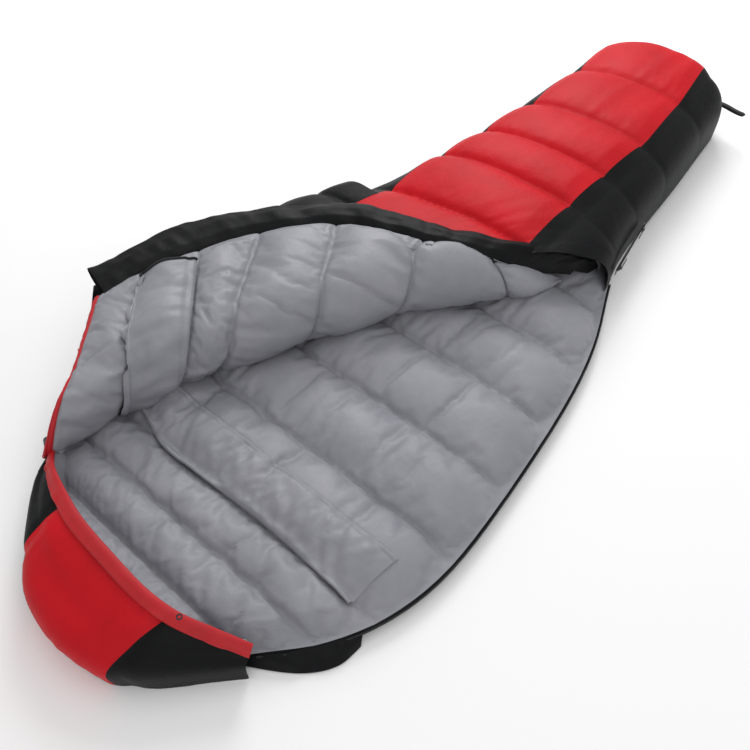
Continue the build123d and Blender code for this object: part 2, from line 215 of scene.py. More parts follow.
# %% Hard materials
nylon_coil, _, _ = new_material("moulded_nylon_coil", "#15161A", Roughness=0.4, IOR=1.53)
black_acetal, _, _ = new_material("moulded_black_acetal", "#1A1B1E", Roughness=0.42, IOR=1.48)
black_enamel, _, _ = new_material("black_enamelled_zinc", "#191A1D", Roughness=0.28, IOR=1.5, Coat_Weight=0.4)
nickel, _, _ = new_material("black_nickel_plate", "#3A3A3D", Roughness=0.30, Metallic=1.0)
sprung_steel, _, _ = new_material("drawn_spring_steel", "#A9ABAE", Roughness=0.3, Metallic=1.0)
for finish in (nylon_coil, black_acetal, black_enamel, nickel, sprung_steel):
    nodes = finish.node_tree
    place = add_node(nodes, "ShaderNodeTexCoord").outputs["Object"]
    grain = add_node(nodes, "ShaderNodeTexNoise", {"Scale": 900.0, "Detail": 2.0}, Vector=place)
    tooth = add_node(
        nodes, "ShaderNodeBump", {"Strength": 0.15, "Distance": 0.0002}, Height=grain.outputs["Fac"]
    )
    nodes.links.new(tooth.outputs["Normal"], nodes.nodes["Principled BSDF"].inputs["Normal"])
floor_paint, _, _ = new_material("pale_floor", "#FFFFFF", Roughness=0.9)
floor_mesh.materials.append(floor_paint)
print("materials:", len(bpy.data.materials))

# %% [markdown]
# ## Grids of cloth
# Every cloth piece is a grid of points: rows run roughly along the seams, columns across. Between two seams
# the down lifts the cloth, so each point moves out along its normal by an amount that is nothing on the
# seam and most half way. Small gathers run square to a seam and die away from it, as real stitching makes.


# %% Grid helpers
noise_table = np.random.default_rng(7).random((64, 64))


def value_noise(u, v, seed=0):
    """Smooth random height, 0 to 1, that repeats every 64 cells."""
    u = u + 17.3 * seed
    v = v + 5.9 * seed
    iu = np.floor(u).astype(int)
    iv = np.floor(v).astype(int)
    fu = u - iu
    fv = v - iv
    fu = fu * fu * (3 - 2 * fu)
    fv = fv * fv * (3 - 2 * fv)
    corners = [noise_table[(iu + du) % 64, (iv + dv) % 64] for du in (0, 1) for dv in (0, 1)]
    near = corners[0] * (1 - fv) + corners[1] * fv
    far = corners[2] * (1 - fv) + corners[3] * fv
    return near * (1 - fu) + far * fu


def smooth_step(t):
    """0 below 0, 1 above 1, and smooth between."""
    t = np.clip(t, 0.0, 1.0)
    return t * t * (3 - 2 * t)


def curve_through(knots, values, at):
    """A smooth curve through values at knots, each column on its own."""
    knots = np.asarray(knots, float)
    values = np.asarray(values, float)
    at = np.clip(np.asarray(at, float), knots[0], knots[-1])
    flat = values.reshape(len(knots), -1)
    slopes = np.gradient(flat, knots, axis=0)
    index = np.clip(np.searchsorted(knots, at, side="right") - 1, 0, len(knots) - 2)
    span = (knots[index + 1] - knots[index])[:, None]
    t = ((at - knots[index]) / (knots[index + 1] - knots[index]))[:, None]
    h00 = 2 * t**3 - 3 * t**2 + 1
    h10 = t**3 - 2 * t**2 + t
    h01 = -2 * t**3 + 3 * t**2
    h11 = t**3 - t**2
    out = (
        h00 * flat[index]
        + h10 * span * slopes[index]
        + h01 * flat[index + 1]
        + h11 * span * slopes[index + 1]
    )
    return out.reshape((len(at),) + values.shape[1:])


def normals_of(points):
    """Unit normals of a grid of points."""
    along = np.gradient(points, axis=0)
    across = np.gradient(points, axis=1)
    normal = np.cross(across, along)
    length = np.linalg.norm(normal, axis=2, keepdims=True)
    return normal / np.maximum(length, 1e-9)


def unit(vectors):
    """Each row of vectors at length 1."""
    return vectors / np.maximum(np.linalg.norm(vectors, axis=1, keepdims=True), 1e-9)


def run_along(line):
    """The distance run from the first point of a line to each of its points."""
    return np.concatenate([[0], np.cumsum(np.linalg.norm(np.diff(line, axis=0), axis=1))])


def softened(points, passes):
    """A grid with its fine wrinkles evened out; its border stays."""
    points = points.copy()
    for _ in range(passes):
        middle = points[1:-1, 1:-1]
        around = points[:-2, 1:-1] + points[2:, 1:-1] + points[1:-1, :-2] + points[1:-1, 2:]
        points[1:-1, 1:-1] = 0.5 * middle + 0.125 * around
    return points


def grid_piece(name, points, material, body="bag"):
    """A mesh object from a grid of points, shaded smooth, riding on a body."""
    rows, cols = points.shape[:2]
    index = np.arange(rows * cols).reshape(rows, cols)
    faces = np.stack([index[:-1, :-1], index[:-1, 1:], index[1:, 1:], index[1:, :-1]], axis=-1).reshape(-1, 4)
    mesh = bpy.data.meshes.new(name)
    mesh.from_pydata(points.reshape(-1, 3).tolist(), [], faces.tolist())
    mesh.polygons.foreach_set("use_smooth", [True] * len(mesh.polygons))
    mesh.materials.append(material)
    piece = bpy.data.objects.new(name, mesh)
    bpy.context.scene.collection.objects.link(piece)
    if body:
        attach(piece, body)
    return piece


def quilted(piece, fill, slot, *solids):
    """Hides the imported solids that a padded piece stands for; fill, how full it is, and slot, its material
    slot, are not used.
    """
    if solids:
        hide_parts(*solids)


def cell_height(rows_at, seams):
    """For each row, how far it is through its cell, 0 and 1 on the seams, and which cell it is in."""
    seams = np.asarray(seams, float)
    index = np.clip(np.searchsorted(seams, rows_at, side="right") - 1, 0, len(seams) - 2)
    return np.clip((rows_at - seams[index]) / (seams[index + 1] - seams[index]), 0, 1), index


def loft_down(points, seam_at, seams, rise, edge_share=None, gather=0.0022, sharp=0.62, seed=1):
    """Lifts the cloth between seams along its normals, with gathers along each seam and soft dents."""
    length = np.cumsum(np.linalg.norm(np.diff(points, axis=1, prepend=points[:, :1]), axis=2), axis=1)
    seam_at = seam_at[:, None] + 0 * length if seam_at.ndim == 1 else seam_at
    part, cell = cell_height(seam_at, seams)
    crown = (4 * part * (1 - part)) ** sharp
    to_seam = np.minimum(part, 1 - part)
    near_seam = np.exp(-((to_seam / 0.16) ** 2))
    at_seam = np.exp(-((to_seam / 0.05) ** 2))
    uneven = 0.82 + 0.36 * value_noise(length * 7.0, cell * 3.7 + seam_at * 0.004, seed)
    gathers = value_noise(
        length * 62.0 + 0.3 * value_noise(length * 20, seam_at * 0.05, seed), cell * 9.1, seed + 2
    )
    gathers_far = value_noise(length * 34.0, seam_at * 0.012 + cell * 5.3, seed + 4)
    dents = value_noise(length * 14.0, seam_at * 0.016, seed + 5)
    height = rise * crown * uneven - 0.0035 * at_seam
    height = height + gather * 2.2 * (gathers - 0.5) * near_seam * (1 - at_seam)
    height = height + gather * (1.3 * (gathers_far - 0.5) + 1.6 * (dents - 0.5)) * crown
    if edge_share is not None:
        height = height * edge_share
    return points + normals_of(points) * height[:, :, None]


# %% [markdown]
# ## Letting the cloth settle
# Sewn down cells are cut a little larger than the flat size of the quilt, and the down pushes that spare
# cloth up between the seams, where it wrinkles. A short cloth simulation does the same: seam and border
# points are pinned, every thread is a few percent too long, and a light pressure pushes outward. A cap on
# how far a point may move keeps the shape drawn above.


# %% Cloth simulation
def settle(points, pinned, growth, pressure=3.0, cap=0.014, frames=20, bending=0.06):
    """Positions of a grid after a short cloth simulation; pinned is how firmly each point is held, 0 to 1."""
    rows, cols = points.shape[:2]
    piece = grid_piece("settling", points, grey_satin, body=None)
    group = piece.vertex_groups.new(name="pinned")
    weights = np.broadcast_to(pinned, (rows, cols)).reshape(-1)
    for level in np.unique(np.round(weights, 2)):
        chosen = np.nonzero(np.round(weights, 2) == level)[0]
        if level > 0:
            group.add(chosen.tolist(), float(level), "REPLACE")
    cloth = piece.modifiers.new("cloth", "CLOTH")
    cloth.settings.vertex_group_mass = "pinned"
    cloth.settings.quality = 5
    cloth.settings.mass = 0.12
    cloth.settings.tension_stiffness = 12
    cloth.settings.compression_stiffness = 12
    cloth.settings.shear_stiffness = 4
    cloth.settings.bending_stiffness = bending
    cloth.settings.air_damping = 3
    cloth.settings.shrink_min = -growth
    cloth.settings.shrink_max = -growth
    cloth.settings.use_pressure = True
    cloth.settings.uniform_pressure_force = pressure
    cloth.settings.effector_weights.gravity = 0.0
    cloth.collision_settings.use_collision = False
    cloth.collision_settings.use_self_collision = False
    cloth.point_cache.frame_start = 1
    cloth.point_cache.frame_end = frames
    scene = bpy.context.scene
    for frame_number in range(1, frames + 1):
        scene.frame_set(frame_number)
    settled = piece.evaluated_get(bpy.context.evaluated_depsgraph_get())
    flat = np.empty(rows * cols * 3)
    settled.data.vertices.foreach_get("co", flat)
    scene.frame_set(1)
    bpy.data.objects.remove(piece)
    moved = flat.reshape(rows, cols, 3) - points
    length = np.linalg.norm(moved, axis=2, keepdims=True)
    moved = moved * (cap * np.tanh(length / cap) / np.maximum(length, 1e-9))
    print("settled", rows * cols, "points; moved up to", round(float(length.max()) * 1000, 1), "mm")
    return points + moved


def pins(seam_at, seams, cols, border=2, tight=0.006):
    """Pins along the seams and the grid's border."""
    seam_at = np.asarray(seam_at)
    held = np.zeros((len(seam_at), cols))
    for seam in seams:
        if seam_at.ndim == 2:
            held[np.abs(seam_at - seam) < tight] = 1.0
        elif np.abs(seam_at - seam).min() <= tight:
            held[int(np.argmin(np.abs(seam_at - seam)))] = 1.0
    held[:border] = 1.0
    held[-border:] = 1.0
    held[:, :border] = 1.0
    held[:, -border:] = 1.0
    return held


# %% [markdown]
# ## Plan of the bag
# All the sides follow one outline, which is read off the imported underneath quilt. On the zip side the cloth
# keeps to it. On the closed side the cloth lies inside it: a little beside the hood and the neck, and by up
# to 55 mm along the leg part.

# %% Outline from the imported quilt
quilt_mesh = frame["nodes"]["back_shell"].data
plan_points = np.array([v.co for v in quilt_mesh.vertices])
MIDLINE = 16 * MM


def edge_table(side):
    """The outline's points on one side of the midline, sorted from head to foot."""
    chosen = plan_points[(plan_points[:, 0] - MIDLINE) * side > 0.002]
    order = np.argsort(chosen[:, 1])
    return chosen[order][:, 1], chosen[order][:, 0]


NECK_TUCK = 16 * MM
HOOD_TUCK = 30 * MM
LEG_TUCK = 55 * MM


def drawn_in(y):
    """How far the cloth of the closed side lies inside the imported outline."""
    neck = NECK_TUCK * np.exp(-(((y + 0.79) / 0.07) ** 2))
    hood = HOOD_TUCK * np.exp(-(((y + 0.95) / 0.08) ** 2))
    return neck + hood + LEG_TUCK * smooth_step((y + 0.08) / 0.25)


edge_left = edge_table(-1)
edge_left = (edge_left[0], edge_left[1] + drawn_in(edge_left[0]))
edge_right = edge_table(1)
HEAD_Y = plan_points[:, 1].min()
FOOT_Y = plan_points[:, 1].max()


def side_x(y, table):
    """Where the outline is across the bag at a distance along it."""
    return np.interp(y, table[0], table[1])


print("quilt from", round(HEAD_Y, 3), "to", round(FOOT_Y, 3))

# %% [markdown]
# ## Underneath quilt
# It lies flat on the ground, so only its edge is round: the black shell turns up from the ground to meet
# the lining at the zip, about 24 mm up.

# %% Underneath shell
EDGE_Z = 23 * MM
rows_y = np.linspace(HEAD_Y + 0.004, FOOT_Y - 0.004, 230)


def plan_row(y, count, left_in=0.0, right_in=0.0):
    """Points across the bag at one distance along it."""
    return np.linspace(side_x(y, edge_left) + left_in, side_x(y, edge_right) - right_in, count)


shell_grid = np.zeros((len(rows_y), 97, 3))
for i, y in enumerate(rows_y):
    angle = np.linspace(-1, 1, 97)
    across = np.sign(angle) * (1 - (1 - np.abs(angle)) ** 1.6)
    low, high = side_x(y, edge_left), side_x(y, edge_right)
    x = (low + high) / 2 + across * (high - low) / 2
    from_edge = np.minimum(x - low, high - x)
    from_end = min(y - HEAD_Y, FOOT_Y - y)
    rise_in = np.clip(1 - np.minimum(from_edge, from_end * 1.4) / 0.04, 0, 1)
    shell_grid[i, :, 0] = x
    shell_grid[i, :, 1] = y
    shell_grid[i, :, 2] = 0.0006 + 0.9 * EDGE_Z * rise_in**2.2
underneath = grid_piece("underneath_shell", shell_grid[:, ::-1], black_taffeta)
quilted(underneath, 0.5, "black_shell", "back_shell", "back_fill")
print("underneath shell", len(underneath.data.vertices), "points")

# %% [markdown]
# ## Back lining
# Grey satin in cells that run straight across: about 90 mm from seam to seam at the hood and neck, and
# 170 mm below. The cells show best here, because the light rakes over them from the foot.

# %% Back lining
LINING_SEAMS = [-1.12, -0.955, -0.862, -0.774, -0.684, -0.514, -0.344, -0.173, -0.008, 0.160, 0.33]
lining_rows = np.linspace(-1.000, 0.325, 232)
lining_cols = 150
lining_grid = np.zeros((len(lining_rows), lining_cols, 3))
for i, y in enumerate(lining_rows):
    x = plan_row(y, lining_cols, 0.004, 0.001)
    from_edge = np.minimum(x - x[0], x[-1] - x)
    lining_grid[i, :, 0] = x
    lining_grid[i, :, 1] = y
    lining_grid[i, :, 2] = EDGE_Z + 0.003 + 0.017 * smooth_step(from_edge / 0.10)
edge_fade = smooth_step(
    np.minimum(lining_grid[:, :, 0] - lining_grid[:, :1, 0], lining_grid[:, -1:, 0] - lining_grid[:, :, 0])
    / 0.07
)
lining_grid = loft_down(lining_grid, lining_rows, LINING_SEAMS, 0.021, 0.12 + 0.88 * edge_fade, seed=3)
lining_grid = settle(lining_grid, pins(lining_rows, LINING_SEAMS, lining_cols), 0.042, bending=0.02)
back_lining = grid_piece("back_lining_cloth", lining_grid, grey_satin)
quilted(back_lining, 0.5, "grey_lining", "back_lining")
print("back lining", len(back_lining.data.vertices), "points")

# %% [markdown]
# ## Closed leg part
# A tube of quilt: red down the middle of the top, black at the sides. It is drawn as one arch over the
# underneath quilt, then cut into its three panels along their borders, so the panels share every edge point.

# %% Leg arch
LEG_SEAMS = [-0.10, 0.100, 0.272, 0.415, 0.580, 0.800, 1.06]
LEG_START = -0.160
LEG_HEAD = [
    (-0.43, LEG_START),
    (-0.12, -0.075),
    (0.06, 0.01),
    (0.165, 0.07),
    (0.27, 0.17),
    (0.33, 0.235),
    (0.43, 0.25),
]
SQUARE_Y = 0.268
BORDER_Y = [-0.16, -0.02, 0.108, 0.280, 0.443, 0.605, 0.816, 1.05]
BORDER_LEFT = [-0.226, -0.213, -0.192, -0.170, -0.145, -0.115, -0.111, -0.138]
BORDER_RIGHT = [0.178, 0.178, 0.176, 0.176, 0.180, 0.188, 0.172, 0.140]
SIDE_POWER = 0.74
TOP_POWER = 0.50
ARCH_BASE = EDGE_Z - 0.004


def arch_height(y):
    """Height of the closed top quilt along the bag, lower where it runs under the folded part."""
    return 0.170 - 0.014 * smooth_step((0.25 - y) / 0.35)


def arch_row(y_of_x, count_left, count_mid, count_right):
    """One row over the arch, from the left edge to the right one, with points on both panel borders."""
    turn = np.linspace(math.pi, 0, 400)
    y_mid = y_of_x(0.0)
    low, high = side_x(y_mid, edge_left), side_x(y_mid, edge_right)
    half = (high - low) / 2
    left_power = 1.0 + 1.3 * smooth_step((0.26 - y_of_x(-0.2)) / 0.16)
    power = np.where(np.cos(turn) < 0, left_power, SIDE_POWER)
    reach = np.where(np.cos(turn) < 0, 0.94 * half, half)
    x = (low + high) / 2 + reach * np.sign(np.cos(turn)) * np.abs(np.cos(turn)) ** power
    y = np.array([y_of_x(v) for v in x])
    low_at, high_at = side_x(y, edge_left), side_x(y, edge_right)
    x = (low_at + high_at) / 2 + (high_at - low_at) / 2 * (x - (low + high) / 2) / half
    y = np.array([y_of_x(v) for v in x])
    top = np.array([arch_height(v) for v in y])
    z = ARCH_BASE + (top - ARCH_BASE) * np.sin(turn) ** TOP_POWER
    line = np.stack([x, y, z], axis=1)
    left_at = np.interp(y_of_x(-0.15), BORDER_Y, BORDER_LEFT)
    right_at = np.interp(y_of_x(0.17), BORDER_Y, BORDER_RIGHT)
    run = run_along(line)
    run_left = np.interp(left_at, x, run)
    run_right = np.interp(right_at, x, run)
    stops = np.concatenate(
        [
            np.linspace(0, run_left, count_left),
            np.linspace(run_left, run_right, count_mid)[1:],
            np.linspace(run_right, run[-1], count_right)[1:],
        ]
    )
    return np.stack([np.interp(stops, run, line[:, k]) for k in range(3)], axis=1)


leg_share = np.concatenate(
    [np.linspace(0, 0.93, 170), 0.93 + 0.07 * np.sin(np.linspace(0, math.pi / 2, 36)[1:])]
)
foot_end = FOOT_Y - 0.003
FOOT_ROUND = 0.07
COUNTS = (34, 70, 34)
leg_grid = []
leg_rows = []
for share in leg_share:
    y_plain = LEG_START + share * (foot_end - LEG_START)

    def y_of_x(x, y_plain=y_plain):
        """Where this row is along the bag: slanted at the mouth, square past it."""
        head = np.interp(x, [p[0] for p in LEG_HEAD], [p[1] for p in LEG_HEAD])
        if y_plain >= SQUARE_Y:
            return y_plain
        return head + (SQUARE_Y - head) * (y_plain - LEG_START) / (SQUARE_Y - LEG_START)

    rounding = np.clip((y_plain - (foot_end - FOOT_ROUND)) / FOOT_ROUND, 0, 1)
    scale = (1 - rounding**3) ** (1 / 3)
    row = arch_row(y_of_x, *COUNTS)
    row[:, 2] = ARCH_BASE + (row[:, 2] - ARCH_BASE) * scale
    leg_grid.append(row)
    leg_rows.append(y_plain)
leg_grid = np.array(leg_grid)
leg_rows = np.array(leg_rows)
col = np.arange(leg_grid.shape[1])
left_col, right_col = COUNTS[0] - 1, COUNTS[0] + COUNTS[1] - 2
puff_share = np.interp(
    col,
    [0, 8, left_col - 8, left_col, left_col + 6, right_col - 7, right_col, right_col + 5, col[-1]],
    [0.0, 0.05, 0.20, 0.75, 1.0, 1.0, 0.72, 0.22, 0.0],
)
leg_grid = loft_down(
    leg_grid,
    leg_grid[:, :, 1],
    LEG_SEAMS,
    0.022,
    puff_share[None, :],
    gather=0.0018,
    sharp=0.55,
    seed=11,
)
leg_pins = pins(leg_grid[:, :, 1], LEG_SEAMS, leg_grid.shape[1], tight=0.0032)
leg_pins[:, [left_col, right_col]] = np.maximum(leg_pins[:, [left_col, right_col]], 0.9)
leg_grid = settle(leg_grid, leg_pins, 0.028, pressure=3.0, cap=0.008, bending=0.03)
foot_row = int(np.argmin(np.abs(leg_rows - (foot_end - 0.020))))
leg_red = grid_piece("leg_red_panel", leg_grid[: foot_row + 1, left_col : right_col + 1], red_taffeta)
leg_left = grid_piece("leg_black_left", leg_grid[: foot_row + 1, : left_col + 1], black_taffeta)
leg_right = grid_piece("leg_black_right", leg_grid[: foot_row + 1, right_col:], black_taffeta)
leg_foot = grid_piece("leg_black_foot", leg_grid[foot_row:], black_taffeta)
quilted(leg_red, 0.7, "red_shell", "leg_centre_panel", "leg_fill_top")
quilted(leg_left, 0.7, "black_shell", "leg_side_left", "leg_fill_left")
quilted(leg_right, 0.7, "black_shell", "leg_side_right", "leg_fill_right")
quilted(leg_foot, 0.7, "black_shell", "foot_panel", "foot_fill")
print("leg panels", leg_grid.shape)

# %% [markdown]
# ## Chest quilt that stays down
# The closed side's quarter of the top quilt. The folded part lies on it, so only its round outer side shows.

# %% Chest quilt
FOLD_HEAD = np.array([-0.262, -0.724])
fold_joint = next(j for j in frame["joints"] if j["name"] == "flap_turn")
ALONG = np.array(fold_joint["axis"][:2])
ACROSS = np.array([ALONG[1], -ALONG[0]])


def fold_x(y):
    """Where the fold is across the bag."""
    return FOLD_HEAD[0] + (y - FOLD_HEAD[1]) * ALONG[0] / ALONG[1]


CHEST_SEAMS = [-0.86, -0.774, -0.684, -0.514, -0.344, -0.173, -0.008, 0.16]
chest_rows = np.linspace(-0.800, 0.06, 130)
chest_cols = 70
SIDE_SHARE = 0.4
chest_grid = np.zeros((len(chest_rows), chest_cols, 3))
for i, y in enumerate(chest_rows):
    low = side_x(y, edge_left)
    end = max(fold_x(y) + 0.005, low + 0.05)
    top = 0.118 + 0.012 * smooth_step((y + 0.3) / 0.3) - 0.05 * smooth_step((-0.60 - y) / 0.18)
    low = low + 0.012 * smooth_step((-0.60 - y) / 0.1)
    turn = np.linspace(0, 1, chest_cols)
    ramp = np.clip(turn / SIDE_SHARE, 0, 1)
    bulge = np.sin(ramp * math.pi / 2)
    slack = smooth_step((-0.42 - y) / 0.2)
    side_run = min(0.10 + 0.08 * slack, (end - low) * 0.7)
    rounded = 1 - np.cos(ramp * math.pi / 2)
    side = low + side_run * ((1 - slack) * rounded + slack * ramp)
    over_top = low + side_run + (end - low - side_run) * (turn - SIDE_SHARE) / (1 - SIDE_SHARE)
    x = np.where(turn < SIDE_SHARE, side, over_top)
    chest_grid[i, :, 0] = x
    chest_grid[i, :, 1] = y
    lifted = bulge**0.8 * (1 - slack) + ramp * slack
    chest_grid[i, :, 2] = ARCH_BASE + (top - EDGE_Z - 0.02 * slack) * lifted
chest_share = np.clip(np.linspace(0, 6, chest_cols), 0, 1)[None, :]
chest_grid = loft_down(chest_grid, chest_rows, CHEST_SEAMS, 0.012, chest_share, seed=21)
CHEST_CUT = 40
chest_black = grid_piece("chest_black_side", chest_grid[:, : CHEST_CUT + 1], black_taffeta)
chest_red = grid_piece("chest_red_panel", chest_grid[:, CHEST_CUT:], red_taffeta)
quilted(chest_black, 0.6, "black_shell", "chest_side_left")
quilted(chest_red, 0.6, "red_shell", "chest_centre_panel", "chest_fill", "chest_lining")
print("chest quilt", chest_grid.shape)

# %% [markdown]
# ## Folded top quilt, lining side
# The top quilt is turned back over a fat roll, so the grey lining faces up. Each grid row follows a seam:
# it starts in the valley where the roll meets the back lining, climbs over the roll and runs out to the
# black edge. The rows are set at a few seams and are smooth between them.


# %% Rows of the folded lining
def fold_to_bag(across, along, z):
    """Points given across and along the fold, as points of the bag."""
    x = FOLD_HEAD[0] + ALONG[0] * along + ACROSS[0] * across
    y = FOLD_HEAD[1] + ALONG[1] * along + ACROSS[1] * across
    return np.stack([x, y, z + 0 * x], axis=-1)


# Each line: seam number, valley (across, along, z), crest, outer edge; mm
FLAP_ROWS = [
    (0.0, (68, -94, 64), (8, -4, 176), (-156, 74, 188)),
    (1.0, (-4, 30, 60), (-26, 112, 188), (-190, 180, 190)),
    (2.0, (-26, 130, 60), (-34, 232, 188), (-203, 292, 190)),
    (3.0, (-32, 225, 60), (-36, 322, 187), (-205, 425, 190)),
    (4.0, (-32, 405, 60), (-36, 500, 187), (-168, 584, 190)),
    (5.0, (-26, 600, 60), (-34, 700, 187), (-48, 730, 188)),
    (6.0, (10, 810, 60), (0, 800, 176), (14, 806, 184)),
    (7.0, (46, 935, 58), (40, 880, 140), (52, 884, 152)),
    (8.0, (62, 1030, 52), (60, 1020, 62), (62, 1020, 66)),
]
flap_keys = [r[0] for r in FLAP_ROWS]
ROWS_PER_CELL = 24
flap_rows = np.concatenate([np.arange(8 * ROWS_PER_CELL) / ROWS_PER_CELL, [8.0]])
valley = curve_through(flap_keys, [r[1] for r in FLAP_ROWS], flap_rows) * MM
crest = curve_through(flap_keys, [r[2] for r in FLAP_ROWS], flap_rows) * MM
outer = curve_through(flap_keys, [r[3] for r in FLAP_ROWS], flap_rows) * MM
ROLL_COLS, FLAT_COLS = 44, 36
roll_turn = np.linspace(0, 1, ROLL_COLS)
flat_turn = np.linspace(0, 1, FLAT_COLS + 1)[1:]
flap_grid = np.zeros((len(flap_rows), ROLL_COLS + FLAT_COLS, 3))
for i in range(len(flap_rows)):
    low, top, end = valley[i], crest[i], outer[i]
    radius = (top[2] - low[2]) / 2
    swing = roll_turn * math.pi
    across = low[0] + (top[0] - low[0]) * roll_turn + radius * 0.98 * np.sin(swing)
    along = low[1] + (top[1] - low[1]) * roll_turn
    along = along - 0.025 * np.sin(swing) ** 0.8 * smooth_step(1 - flap_rows[i])
    height = (low[2] + top[2]) / 2 - radius * np.cos(swing)
    across = np.concatenate([across, top[0] + (end[0] - top[0]) * flat_turn])
    along = np.concatenate([along, top[1] + (end[1] - top[1]) * flat_turn])
    height = np.concatenate([height, top[2] + (end[2] - top[2]) * flat_turn])
    flap_grid[i] = fold_to_bag(across, along, height)
FLAP_SEAMS = [0, 1, 2, 3, 4, 5, 6.6, 8.0]
flap_share = np.interp(np.arange(ROLL_COLS + FLAT_COLS), [0, 8, 20, 60, 74, 79], [0.1, 0.75, 1, 1, 0.8, 0.25])
cell_size = np.interp(flap_rows, [0, 1, 2, 3, 5, 6.5, 8], [0.7, 0.75, 0.8, 1.0, 1.0, 0.8, 0.2])
flap_grid = flap_grid[:, ::-1]
flap_share = flap_share[::-1]
flap_grid = loft_down(
    flap_grid,
    flap_rows,
    FLAP_SEAMS,
    0.019,
    flap_share[None, :] * cell_size[:, None],
    gather=0.0030,
    sharp=0.6,
    seed=31,
)
flap_pins = pins(flap_rows, FLAP_SEAMS, flap_grid.shape[1], tight=0.03)
flap_grid = settle(flap_grid, flap_pins, 0.040, bending=0.02)
APEX = FLAT_COLS + ROLL_COLS - 16
GUSSET_ROW = 6 * ROWS_PER_CELL
roll_lining = grid_piece("roll_lining", flap_grid[: GUSSET_ROW + 1, APEX:], grey_satin, body=None)
flap_lining = grid_piece("flap_lining_cloth", flap_grid[: GUSSET_ROW + 1, : APEX + 1], grey_satin, body=None)
gusset_lining = grid_piece("gusset_lining", flap_grid[GUSSET_ROW:], grey_satin)
quilted(roll_lining, 0.6, "grey_lining")
quilted(flap_lining, 0.6, "grey_lining", "flap_lining", "flap_fill")
quilted(gusset_lining, 0.6, "grey_lining")


def pays_out(piece):
    """Cloth between the bag and the travelling fold."""
    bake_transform(piece)


def turns_over(piece):
    """Cloth between the fold and the part that turns."""
    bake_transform(piece)


pays_out(roll_lining)
turns_over(flap_lining)
print("folded lining", flap_grid.shape)

# %% [markdown]
# ## Black edge band
# The black strip beyond the lining is the shell's side panel rolled over the edge with the zip on it. It is
# a soft, slightly crumpled tube: up from the lining, over, and back under.

# %% Edge band
BAND = [
    (0.0, (-150, 92), (-243, 72), 196),
    (1.0, (-185, 160), (-262, 150), 200),
    (2.0, (-206, 292), (-297, 280), 202),
    (3.0, (-204, 427), (-283, 430), 202),
    (4.0, (-167, 585), (-221, 626), 200),
    (5.0, (-100, 676), (-144, 720), 199),
    (6.0, (-50, 728), (-92, 770), 197),
    (7.0, (6, 795), (-20, 852), 192),
    (8.0, (40, 856), (26, 954), 172),
    (9.0, (60, 920), (48, 1040), 140),
    (10.0, (74, 1040), (70, 1118), 96),
]
band_rows = np.linspace(0, 10, 260)
band_in = curve_through([b[0] for b in BAND], [b[1] for b in BAND], band_rows) * MM
band_out = curve_through([b[0] for b in BAND], [b[2] for b in BAND], band_rows) * MM
band_z = curve_through([b[0] for b in BAND], [[b[3]] for b in BAND], band_rows)[:, 0] * MM
BAND_COLS = 34
band_grid = np.zeros((len(band_rows), BAND_COLS, 3))
for i in range(len(band_rows)):
    width = np.linalg.norm(band_out[i] - band_in[i])
    turn = np.linspace(-0.12, 1.30, BAND_COLS)
    reach = np.interp(turn, [-0.12, 0, 0.5, 0.85, 1.0, 1.15, 1.30], [-0.08, 0, 0.56, 0.93, 1.0, 0.94, 0.62])
    lift = MM * np.interp(
        turn, [-0.12, 0, 0.18, 0.5, 0.85, 1.0, 1.15, 1.30], [-14, -6, 3, 5, -3, -15, -28, -36]
    )
    base = band_in[i][None, :] + (band_out[i] - band_in[i])[None, :] * reach[:, None]
    band_grid[i] = fold_to_bag(base[:, 0], base[:, 1], band_z[i] + lift)
band_run = run_along(band_grid[:, 10])[:, None]
band_across = np.linspace(0, 1, BAND_COLS)[None, :]
broad = value_noise(band_run * 22, band_across * 3.0, 41) - 0.5
small = value_noise(band_run * 55 + band_across * 2, band_across * 4, 42) - 0.5
crumple = broad + 0.6 * small
band_grid = band_grid - normals_of(band_grid) * (crumple * 0.006)[:, :, None]
BAND_GUSSET = int(np.argmin(np.abs(band_rows - 7.2)))
edge_band = grid_piece("flap_edge_band", band_grid[: BAND_GUSSET + 1], black_taffeta, body="flap")
band_gusset = grid_piece("gusset_band", band_grid[BAND_GUSSET:], black_taffeta)
quilted(band_gusset, 0.3, "black_shell")
quilted(edge_band, 0.3, "black_shell", "flap_storm_flap", "flap_zip_tape", "flap_zip_coil")
print("edge band", band_grid.shape)


# %% [markdown]
# ## Hood
# The hood of this bag lies flat, so it is a shallow cowl: cloth that rises from the ground line round the
# head, bulges outward and comes in to a bound rim with the drawcord in it. One grid runs from rim to
# ground, and the borders between red and black are lines of that grid.

# %% Hood surface
# Each line: share along the rim, rim point, widest point, ground point; mm
HOOD_LINES = [
    (0.00, (-216, -838, 88), (-238, -846, 50), (-250, -842, 8)),
    (0.12, (-172, -862, 104), (-198, -898, 60), (-206, -898, 6)),
    (0.26, (-92, -884, 120), (-102, -984, 64), (-112, -980, 4)),
    (0.33, (-50, -893, 126), (-64, -1012, 66), (-76, -1008, 4)),
    (0.50, (60, -903, 132), (6, -1040, 64), (-8, -1036, 4)),
    (0.66, (152, -905, 128), (104, -1044, 62), (100, -1038, 4)),
    (0.76, (200, -898, 120), (172, -1026, 58), (170, -1022, 4)),
    (0.90, (262, -874, 100), (262, -944, 48), (262, -942, 3)),
    (1.00, (316, -850, 78), (322, -876, 40), (322, -876, 3)),
]
hood_along = np.linspace(0, 1, 150)
hood_keys = [h[0] for h in HOOD_LINES]
hood_rim = curve_through(hood_keys, [h[1] for h in HOOD_LINES], hood_along) * MM
hood_wide = curve_through(hood_keys, [h[2] for h in HOOD_LINES], hood_along) * MM
hood_ground = curve_through(hood_keys, [h[3] for h in HOOD_LINES], hood_along) * MM
HOOD_COLS = 60
hood_grid = np.zeros((len(hood_along), HOOD_COLS, 3))
